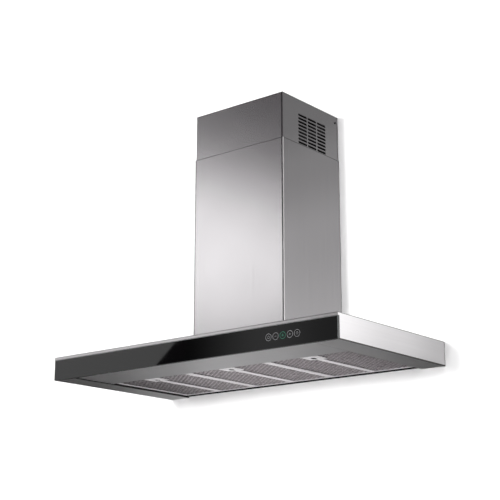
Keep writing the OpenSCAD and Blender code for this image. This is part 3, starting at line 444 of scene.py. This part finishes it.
print_green = printed("key_print_lit", (0.02, 0.11, 0.07), 0.07)
foam = felt()

# Levels that the folds of the mesh's two layers go between, and how far its lower face lies under them
mesh_low, mesh_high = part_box("filter_mesh_left")
lower_crest, lower_valley = mesh_low.z + 0.0007, mesh_low.z + 0.0024
upper_crest, upper_valley = mesh_low.z + 0.0040, mesh_high.z - 0.0009
face_drop = 0.0005
# The mesh materials paint shade into the folds, from each crest level down to its valley level
mesh_grey = mesh_layer("pleated_mesh", lower_crest, lower_valley)
mesh_behind = mesh_layer("pleated_mesh_behind", upper_crest - 0.0004, upper_valley - 0.0006)
mesh_strand = strand_metal("mesh_strand")
mesh_strand_lower = strand_metal("mesh_strand_lower", lower_crest - 0.0004, lower_valley - face_drop)

FINISH = {
    "canopy_shell": steel_canopy, "bottom_panel": steel_panel, "filter_rail": black_steel_and_shade,
    "lower_chimney": steel_lower, "upper_chimney": steel_upper,
    "glass_tape": foam, "touch_pads": foam,
    "control_housing": black_plastic, "outlet_collar": black_plastic, "cable_gland": black_plastic,
    "scroll_left": black_plastic, "scroll_right": black_plastic,
    "touch_board": green_board, "power_board": green_board,
    "power_box": white_plastic, "power_cover": white_plastic, "capacitor": white_plastic,
    "blower_box": zinc, "motor_bracket": zinc, "chimney_bracket": black_steel_and_shade, "capacitor_clip": zinc,
    "blower_screws": screw_metal, "collar_screws": screw_metal,
    "lower_chimney_screws": screw_metal, "chimney_screws": black_steel_and_shade,
    "inlet_guard_left": grey_plastic, "inlet_guard_right": grey_plastic, "impeller": grey_plastic,
    "damper_front": grey_plastic, "damper_rear": grey_plastic,
    "motor": motor_steel,
    "motor_shaft": spring_steel, "shaft_clip": spring_steel, "damper_axle": spring_steel,
}
for side in FILTERS:
    FINISH["filter_frame_" + side] = filter_metal
    FINISH["filter_latch_" + side] = latch_plastic
for name, shader in FINISH.items():
    nodes[name].data.materials.clear()
    nodes[name].data.materials.append(shader.material)


# ---- pieces ----

def piece(name, points, faces, body, *shaders, which=None):
    """A mesh piece in metres, in the hood's frame."""
    mesh = bpy.data.meshes.new(name)
    mesh.from_pydata(points, [], faces)
    for shader in shaders:
        mesh.materials.append(shader.material)
    if which:
        for polygon, index in zip(mesh.polygons, which):
            polygon.material_index = index
    mesh.validate()
    mesh.update()
    made = new_object(name, mesh)
    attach(made, body)
    return made


def use(made, kind, **values):
    modifier = made.modifiers.new(kind.lower(), kind)
    for key, value in values.items():
        setattr(modifier, key, value)
    return modifier


# Front glass: bevelled pane, its polished top and side edges lighter than its printed face
low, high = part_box("front_glass")
pane_y = low.y + 0.00015
bevel = 0.0008
rings = []
for y, inset in ((high.y, bevel), (high.y - bevel, 0), (pane_y + bevel, 0), (pane_y, bevel)):
    rings.append([(low.x + inset, y, low.z + inset), (high.x - inset, y, low.z + inset),
                  (high.x - inset, y, high.z - inset), (low.x + inset, y, high.z - inset)])
points = [p for ring in rings for p in ring]
faces, which = [(3, 2, 1, 0), (12, 13, 14, 15)], [0, 0]
for r in range(3):
    for k in range(4):
        a, b = 4 * r + k, 4 * r + (k + 1) % 4
        faces.append((a, b, b + 4, a + 4))
        which.append(0 if k == 0 else 1)
pane = piece("glass_pane", points, faces, "hood", black_glass, edge_glass, which=which)
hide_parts("front_glass")


# Key print on the glass: a ring and a plain sign for each key
def outline(loops, y):
    """Flat bands between pairs of lines, each line a list of (x, z), at the depth y."""
    points, faces = [], []
    for outer, inner, closed in loops:
        n, base = len(outer), len(points)
        points += [(x, y, z) for x, z in outer + inner]
        for k in range(n if closed else n - 1):
            m = (k + 1) % n
            faces.append((base + k, base + m, base + n + m, base + n + k))
    return points, faces


def arc(cx, cz, r, width, start=0.0, end=360.0, steps=48):
    """Outer line, inner line and whether they close."""
    closed = end - start >= 360
    count = steps if closed else steps + 1
    angles = [math.radians(start + (end - start) * k / steps) for k in range(count)]
    outer, inner = ([(cx + radius * math.cos(a), cz + radius * math.sin(a)) for a in angles]
                    for radius in (r + width / 2, r - width / 2))
    return outer, inner, closed


def bar(cx, cz, length, width, angle):
    """Two lines along a straight bar, as arc gives them."""
    a = math.radians(angle)
    ux, uz = math.cos(a) * length / 2, math.sin(a) * length / 2
    nx, nz = -math.sin(a) * width / 2, math.cos(a) * width / 2
    outer, inner = ([(cx - ux + side * nx, cz - uz + side * nz), (cx + ux + side * nx, cz + uz + side * nz)]
                    for side in (1, -1))
    return outer, inner, False


# Off, minus, fan, plus and timer
SIGNS = [
    lambda x, z: [arc(x, z, 0.0030, 0.0007, 125, 415, 30), bar(x, z + 0.0028, 0.0030, 0.0007, 90)],
    lambda x, z: [bar(x, z, 0.0056, 0.0008, 0)],
    lambda x, z: [arc(x + 0.0017 * math.cos(math.radians(a)), z + 0.0017 * math.sin(math.radians(a)),
                      0.0013, 0.0006) for a in (90, 210, 330)],
    lambda x, z: [bar(x, z, 0.0056, 0.0008, 0), bar(x, z, 0.0056, 0.0008, 90)],
    lambda x, z: [arc(x, z, 0.0030, 0.0006), bar(x, z + 0.0011, 0.0022, 0.0006, 90),
                  bar(x + 0.0008, z, 0.0016, 0.0006, 0)],
]
LIT_KEY = 3
PRINT_THICK = 0.00006
low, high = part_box("touch_pads")
keys_z = (low.z + high.z) / 2
pad_radius = 0.006
pitch = (high.x - low.x - 2 * pad_radius) / (len(SIGNS) - 1)
for number, sign in enumerate(SIGNS, 1):
    x = low.x + pad_radius + (number - 1) * pitch
    loops = [arc(x, keys_z, 0.0079, 0.0010, steps=64), *sign(x, keys_z)]
    key = piece(f"key_print_{number}", *outline(loops, pane_y - PRINT_THICK / 3), "hood",
                print_green if number == LIT_KEY else print_grey)
    use(key, "SOLIDIFY", thickness=PRINT_THICK, offset=0.0)


# Filter packs: folded layers between two faces of expanded mesh
FOLD_PITCH = 0.0105
DIAMOND = (0.0105, 0.0052)
STRAND = 0.0007


def clip(polygon, normal, limit):
    """The part of a convex polygon where its points' product with normal is at most limit."""
    kept = []
    for p, q in zip(polygon, polygon[1:] + polygon[:1]):
        dp, dq = p[0] * normal[0] + p[1] * normal[1] - limit, q[0] * normal[0] + q[1] * normal[1] - limit
        if dp <= 0:
            kept.append(p)
        if dp * dq < 0:
            t = dp / (dp - dq)
            kept.append((p[0] + t * (q[0] - p[0]), p[1] + t * (q[1] - p[1])))
    return kept


def fold(x, y, angle, z_low, z_high):
    """Level of a sheet that is folded to and fro across direction angle."""
    a = math.radians(angle)
    t = (y * math.cos(a) - x * math.sin(a)) * 2 / FOLD_PITCH % 2
    return z_low + min(t, 2 - t) * (z_high - z_low)


def folded_sheet(areas, angle, z_low, z_high):
    """The folded sheet over convex areas, with a face for each slope."""
    a = math.radians(angle)
    across = (-math.sin(a), math.cos(a))
    points, faces = [], []
    for area in areas:
        reach = [p[0] * across[0] + p[1] * across[1] for p in area]
        for k in range(math.floor(2 * min(reach) / FOLD_PITCH), math.ceil(2 * max(reach) / FOLD_PITCH)):
            strip = clip(clip(area, across, (k + 1) * FOLD_PITCH / 2),
                         (-across[0], -across[1]), -k * FOLD_PITCH / 2)
            if len(strip) < 3:
                continue
            base = len(points)
            points += [(x, y, fold(x, y, angle, z_low, z_high)) for x, y in strip]
            faces.append(tuple(range(base, len(points))))
    return points, faces


def expanded(rects, level, thick):
    """A face of expanded mesh that follows level(x, y): strands that zigzag between the knots of diamonds."""
    points, faces = [], []
    for x0, y0, x1, y1 in rects:
        rows = max(1, round((y1 - y0) / DIAMOND[1]))
        columns = max(1, round((x1 - x0) / (DIAMOND[0] / 2)))
        dx, dy = (x1 - x0) / columns, (y1 - y0) / rows
        for strand in range(2 * rows * columns):
            half_row, k = divmod(strand, columns)
            row, half = divmod(half_row, 2)
            sign = 1 if half else -1
            mid = y0 + (row + 0.5) * dy
            near, far = mid + sign * (dy - STRAND) / 2, mid + sign * STRAND / 2
            start, end = (near, far) if (k + half) % 2 == 0 else (far, near)
            base = len(points)
            for t in (0, 0.5, 1):
                x, y = x0 + (k + t) * dx, start + t * (end - start)
                z = level(x, y)
                points += [(x, y - STRAND / 2, z), (x, y + STRAND / 2, z),
                           (x, y + STRAND / 2, z + thick), (x, y - STRAND / 2, z + thick)]
            for i in (base, base + 4):
                for e in range(4):
                    f = (e + 1) % 4
                    faces.append((i + e, i + 4 + e, i + 4 + f, i + f))
    return points, faces


# The pack leaves room for the latch's plate and pocket, and for the rib between its halves
POCKET_HALF, POCKET_Y, PLATE_Y, RIB_HALF = 0.0245, -0.2384, -0.2485, 0.0092
for side in FILTERS:
    node, body = "filter_mesh_" + side, "filter_" + side
    low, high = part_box(node)
    middle = (low.x + high.x) / 2
    left, right = middle - POCKET_HALF, middle + POCKET_HALF
    rects = [(low.x, low.y, left, high.y), (right, low.y, high.x, high.y), (left, POCKET_Y, right, high.y),
             (left, PLATE_Y, middle - RIB_HALF, POCKET_Y), (middle + RIB_HALF, PLATE_Y, right, POCKET_Y)]
    areas = [[(x0, y0), (x1, y0), (x1, y1), (x0, y1)] for x0, y0, x1, y1 in rects]
    # Direction of the folds in degrees, and the levels that they go between
    lower_fold, upper_fold = (-40, lower_crest, lower_valley), (40, upper_crest, upper_valley)
    lower = piece("mesh_pleats_" + side, *folded_sheet(areas, *lower_fold), body, mesh_grey)
    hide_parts(node)
    upper = piece("mesh_pleats_upper_" + side, *folded_sheet(areas, *upper_fold), body, mesh_behind)
    for layer in (lower, upper):
        use(layer, "SOLIDIFY", thickness=0.0003, offset=0.0)
    # The lower face of expanded mesh follows the folds, the upper one lies flat
    points, faces = expanded(rects, lambda x, y: fold(x, y, *lower_fold) - face_drop, thick=0.00025)
    piece("mesh_face_lower_" + side, points, faces, body, mesh_strand_lower)
    points, faces = expanded(rects, lambda x, y: high.z - 0.0006, thick=0.0005)
    piece("mesh_face_upper_" + side, points, faces, body, mesh_strand)


# Latch springs: strips folded to and fro. The real springs are pressed together against their stops as the
# latches are drawn back; these keep their built shape.
def folded_strip(low, high, thick, folds, bend_steps=8):
    """A strip on edge whose runs lie across X, with a round bend from each run to the next."""
    middle, step = (low.x + high.x) / 2, (high.y - low.y - thick) / folds
    radius = step / 2
    end_x = high.x - middle - radius - thick / 2
    line = []
    for k in range(folds + 1):
        y, side_x = low.y + thick / 2 + k * step, 1 if k % 2 == 0 else -1
        line += [(-side_x * end_x, y), (side_x * end_x, y)]
        if k < folds:
            for t in range(1, bend_steps):
                a = math.pi * t / bend_steps
                line.append((side_x * (end_x + radius * math.sin(a)), y + radius * (1 - math.cos(a))))
    points, faces = [], []
    for i, (x, y) in enumerate(line):
        (xa, ya), (xb, yb) = line[max(0, i - 1)], line[min(len(line) - 1, i + 1)]
        along = math.hypot(xb - xa, yb - ya)
        nx, ny = -(yb - ya) / along * thick / 2, (xb - xa) / along * thick / 2
        points += [(middle + x + nx, y + ny, low.z), (middle + x - nx, y - ny, low.z),
                   (middle + x - nx, y - ny, high.z), (middle + x + nx, y + ny, high.z)]
    for i in range(0, len(points) - 4, 4):
        for e in range(4):
            f = (e + 1) % 4
            faces.append((i + e, i + f, i + 4 + f, i + 4 + e))
    end = len(points) - 4
    return points, faces + [(3, 2, 1, 0), (end, end + 1, end + 2, end + 3)]


for side in FILTERS:
    low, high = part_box("latch_spring_" + side)
    points, faces = folded_strip(low, high, thick=0.0005, folds=6)
    spring = piece("spring_strip_" + side, points, faces, "filter_" + side, spring_steel)
    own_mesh(spring)
    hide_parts("latch_spring_" + side)


# ---- stage ----

class StageShader(Nodes):
    """A material for the stage, from bare shader nodes."""

    def __init__(self, name):
        self.material = bpy.data.materials.new(name)
        self.material.use_nodes = True
        super().__init__(self.material.node_tree)
        self.tree.nodes.clear()
        self.output = self.add("OutputMaterial")

    def matt(self, level):
        node = self.add("BsdfDiffuse")
        node.inputs["Color"].default_value = (level, level, level, 1)
        return node.outputs[0]

    def clear(self):
        return self.add("BsdfTransparent").outputs[0]

    def glow(self, level):
        """Light of its own, at a level that is a number or a socket."""
        node = self.add("Emission")
        if isinstance(level, (int, float)):
            node.inputs["Strength"].default_value = level
        else:
            self.join(level, node.inputs["Strength"])
        return node.outputs[0]

    def mixed(self, kind, *sources):
        node = self.add(kind)
        for source, socket in zip(sources, node.inputs):
            self.join(source, socket)
        return node.outputs[0]

    def backface(self):
        return self.add("NewGeometry").outputs["Backfacing"]

    def seen(self):
        """1 for the camera's rays, reflections and what is seen through glass, and 0 for all other rays."""
        kinds = ("Is Camera Ray", "Is Glossy Ray", "Is Transmission Ray")
        return self.chain("MAXIMUM", *[self.ray(kind) for kind in kinds])

    def done(self, source):
        self.join(source, self.output.inputs[0])
        return self.material


CLOSE = 0.003  # rays from nearer than this pass the wall and the sheets of painted shade


def wall_material():
    """Matt white wall that takes the hood's shadow. It isn't there from behind, nor close behind the hood."""
    s = StageShader("wall_white")
    front = s.maths("SUBTRACT", 1.0, s.backface())
    far = s.maths("GREATER_THAN", s.ray("Ray Length"), CLOSE)
    return s.done(s.mixed("MixShader", s.chain("MULTIPLY", s.seen(), front, far), s.clear(), s.matt(0.93)))


def floor_material():
    """White floor that keeps its shadows. From below it isn't there."""
    s = StageShader("floor_white")
    level = s.maths("MULTIPLY_ADD", s.ray("Is Camera Ray"), 0.16, s.maths("MULTIPLY", s.seen(), 0.75))
    top = s.mixed("AddShader", s.glow(level), s.matt(0.5))
    return s.done(s.mixed("MixShader", s.backface(), top, s.clear()))


def glow_material(name, axis, stops):
    """Studio panel. Its level goes from stop to stop, (metres along axis, level)."""
    s = StageShader(name)
    if len(stops) == 1:
        return s.done(s.glow(stops[0][1]))
    first, last = stops[0][0], stops[-1][0]
    place = s.parts(s.add("TexCoord").outputs["Object"])[axis]
    ramp = s.add("ValToRGB")
    s.join(s.span(place, 0.0, 1.0, (first, last)), ramp.inputs["Fac"])
    ramp.color_ramp.interpolation = "EASE"
    elements = ramp.color_ramp.elements
    # A colour holds half of a level, so that levels above 1 fit
    for k, (where, level) in enumerate(stops):
        element = elements[k] if k < 2 else elements.new(1.0)
        element.position = (where - first) / (last - first)
        element.color = (level / 2, level / 2, level / 2, 1)
    return s.done(s.glow(s.maths("MULTIPLY", ramp.outputs["Color"], 2.0)))


def shade_sheet_material(name, camera_only):
    """Black sheet of painted shade that shows from one side only and not to what lies against it.

    camera_only hides it from all rays but the camera's."""
    s = StageShader(name)
    hidden = [s.backface(), s.maths("LESS_THAN", s.ray("Ray Length"), CLOSE)]
    if camera_only:
        hidden.append(s.maths("SUBTRACT", 1.0, s.ray("Is Camera Ray")))
    return s.done(s.mixed("MixShader", s.chain("MAXIMUM", *hidden), s.matt(0.004), s.clear()))


def sheet(name, corners, material):
    mesh = bpy.data.meshes.new(name)
    mesh.from_pydata(corners, [], [tuple(range(len(corners)))])
    mesh.materials.append(material)
    made = new_object(name, mesh)
    return made


def upright(x0, x1, y, z0, z1):
    """Corners of an upright rectangle across the view from the front."""
    return [(x0, y, z0), (x1, y, z0), (x1, y, z1), (x0, y, z1)]


def flat(x0, x1, y0, y1, z):
    """Corners of a level rectangle that faces up."""
    return [(x0, y0, z), (x1, y0, z), (x1, y1, z), (x0, y1, z)]


def out_there(*directions, distance=9.0, centre_z=0.2):
    """Far corners, seen from over the glass: azimuth from straight ahead to the left, and elevation."""
    corners = []
    for azimuth, elevation in directions:
        turn, rise = math.radians(azimuth), math.radians(elevation)
        ahead = distance * math.cos(rise)
        corners.append((-ahead * math.sin(turn), canopy_low.y - ahead * math.cos(turn),
                        centre_z + distance * math.sin(rise)))
    return corners


def panel(name, corners, axis, *stops, diffuse=False):
    """A studio panel that shows in metal and glass and hides nothing from the camera."""
    made = sheet(name, corners, glow_material(name, axis, stops))
    made.visible_camera = False
    made.visible_shadow = False
    made.visible_transmission = False
    made.visible_diffuse = diffuse


def wall_card(name, x0, x1, z0, z1, axis, *stops, lift=0.0008):
    panel(name, upright(x0, x1, -lift, z0, z1), axis, *stops)


FLOOR_Z, FLOOR_HALF = -1.6, 30
WALL_HALF, WALL_TOP = 6, 4.5
sheet("wall", upright(-WALL_HALF, WALL_HALF, 0.0005, FLOOR_Z, WALL_TOP), wall_material())
sheet("floor", flat(-FLOOR_HALF, FLOOR_HALF, -FLOOR_HALF, FLOOR_HALF, FLOOR_Z), floor_material())

# Softboxes to the front left. The lower one has the slanted edge that the glass shows.
SOFTBOX_Y, STRIP_Y = -8, -8.01
corners = [(x, SOFTBOX_Y, z) for x, z in ((-11.01, -1.2), (-6.55, 2.36), (-13, 2.36), (-13, -1.2))]
panel("softbox_low", corners, "X", (0, 1.1), diffuse=True)
panel("softbox_high", out_there((38, 11.5), (47, 11.5), (50, 23.5), (42, 20.5), (34.5, 17.5), (34.5, 13.5)),
      "X", (0, 1.8))
panel("softbox_left", out_there((47, 11.5), (80, 16), (80, 20), (49.4, 20)), "X", (0, 0.6))
panel("softbox_top", out_there((43, 21), (60, 24), (60, 32), (46, 30)), "X", (0, 0.30))
# Weaker strip beside the lower softbox, seen in the right half of the glass
panel("strip", upright(-6.85, -3.6, STRIP_Y, 0.8, 2.5), "X",
      (-6.85, 0.04), (-5.7, 0.60), (-4.9, 0.30), (-3.6, 0.20))
panel("side_right", out_there((-80, -10), (-25, -10), (-25, 10), (-80, 10)), "X", (0, 1.0))
# Grey cards on the wall: all of it, behind the chimney's side, and round the canopy's right end and underside
end_x, beside_x, far_x = canopy_high.x, canopy_high.x + 0.001, 1.3
above_z, under_z, low_z = canopy_high.z + 0.006, -0.35, -0.9
wall_card("card_wall", -WALL_HALF, WALL_HALF, FLOOR_Z, WALL_TOP, "X", (0, 0.2), lift=0.0006)
wall_card("card_chimney", lower_high.x + 0.001, end_x, above_z, 1.3, "Z",
          (above_z, 0.50), (0.40, 0.38), (0.60, 0.27), (0.74, 0.19), (0.90, 0.17))
wall_card("card_side", beside_x, far_x, 0.0, 0.5, "X",
          (beside_x, 0.63), (0.60, 1.02), (0.80, 1.65), (0.95, 2.1))
wall_card("card_corner", beside_x, far_x, low_z, 0.0, "X", (0, 0.03))
wall_card("card_under", -1.0, end_x, under_z, -0.001, "X",
          (-0.90, 0.0), (-0.76, 0.04), (-0.48, 0.24), (-0.30, 0.46), (-0.10, 0.38), (0.12, 0.21),
          (end_x, 0.07))
wall_card("card_low", -1.6, end_x, low_z, under_z, "X", (-1.0, 0.0), (-0.45, 0.24), (end_x, 0.08))

# Black sheets of painted shade keep the chimney's inside dark, as under a ceiling: one behind each cover, one
# over the mouth
for cover, y in (("lower_chimney", 0.0003), ("upper_chimney", 0.0004)):
    low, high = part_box(cover)
    x0, x1, z = low.x + 0.002, high.x - 0.002, high.z + 0.0002
    name = "shade_sheet_behind_" + cover
    shade_sheet = sheet(name, upright(x0, x1, y, low.z, z), shade_sheet_material(name, camera_only=False))
    if cover == "upper_chimney":
        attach(shade_sheet, "chimney_top")
# The one over the mouth faces down
corners = flat(low.x, high.x, low.y, y, z)[::-1]
shade_sheet = sheet("shade_sheet_above", corners, shade_sheet_material("shade_sheet_above", camera_only=True))
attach(shade_sheet, "chimney_top")


# ---- light ----

def lamp(name, place, target, size, level):
    """Square lamp. level is the brightness that it alone gives a white surface facing it at target."""
    away = Vector(place) - Vector(target)
    data = bpy.data.lights.new(name, "AREA")
    data.shape = "SQUARE"
    data.size = size
    data.energy = level * (math.pi * away.length) ** 2
    made = new_object(name, data)
    made.location = place
    made.rotation_euler = away.to_track_quat("Z", "Y").to_euler()
    made.visible_glossy = False


lamp("key", (-1.2, -15, 0.85), (0, 0, 0.1), 1.1, 0.56)
lamp("fill", (0.6, -5.0, 0.45), (0, 0, 0.12), 2.6, 0.78)
lamp("under", (0.12, -0.25, -0.75), (0.12, -0.20, 0), 0.30, 0.80)

# Dim above and in front, white near the floor on the other sides and wherever the camera sees it
world = bpy.data.worlds.new("studio")
scene.world = world
world.use_nodes = True
sky = Nodes(world.node_tree)
direction = sky.parts(sky.add("TexCoord").outputs["Generated"])
sides = [sky.span(direction[axis], 0.0, 1.0, ends, interpolation_type="SMOOTHSTEP")
         for axis, ends in (("Z", (0.36, 0.14)), ("Y", (-0.55, -0.05)))]
white = sky.maths("MAXIMUM", sky.maths("MULTIPLY", *sides), sky.ray("Is Camera Ray"))
background = sky.tree.nodes["Background"]
sky.join(sky.blend(white, (0.048, 0.041, 0.046), (1.0, 1.0, 1.0)), background.inputs["Color"])
background.inputs["Strength"].default_value = 1.0
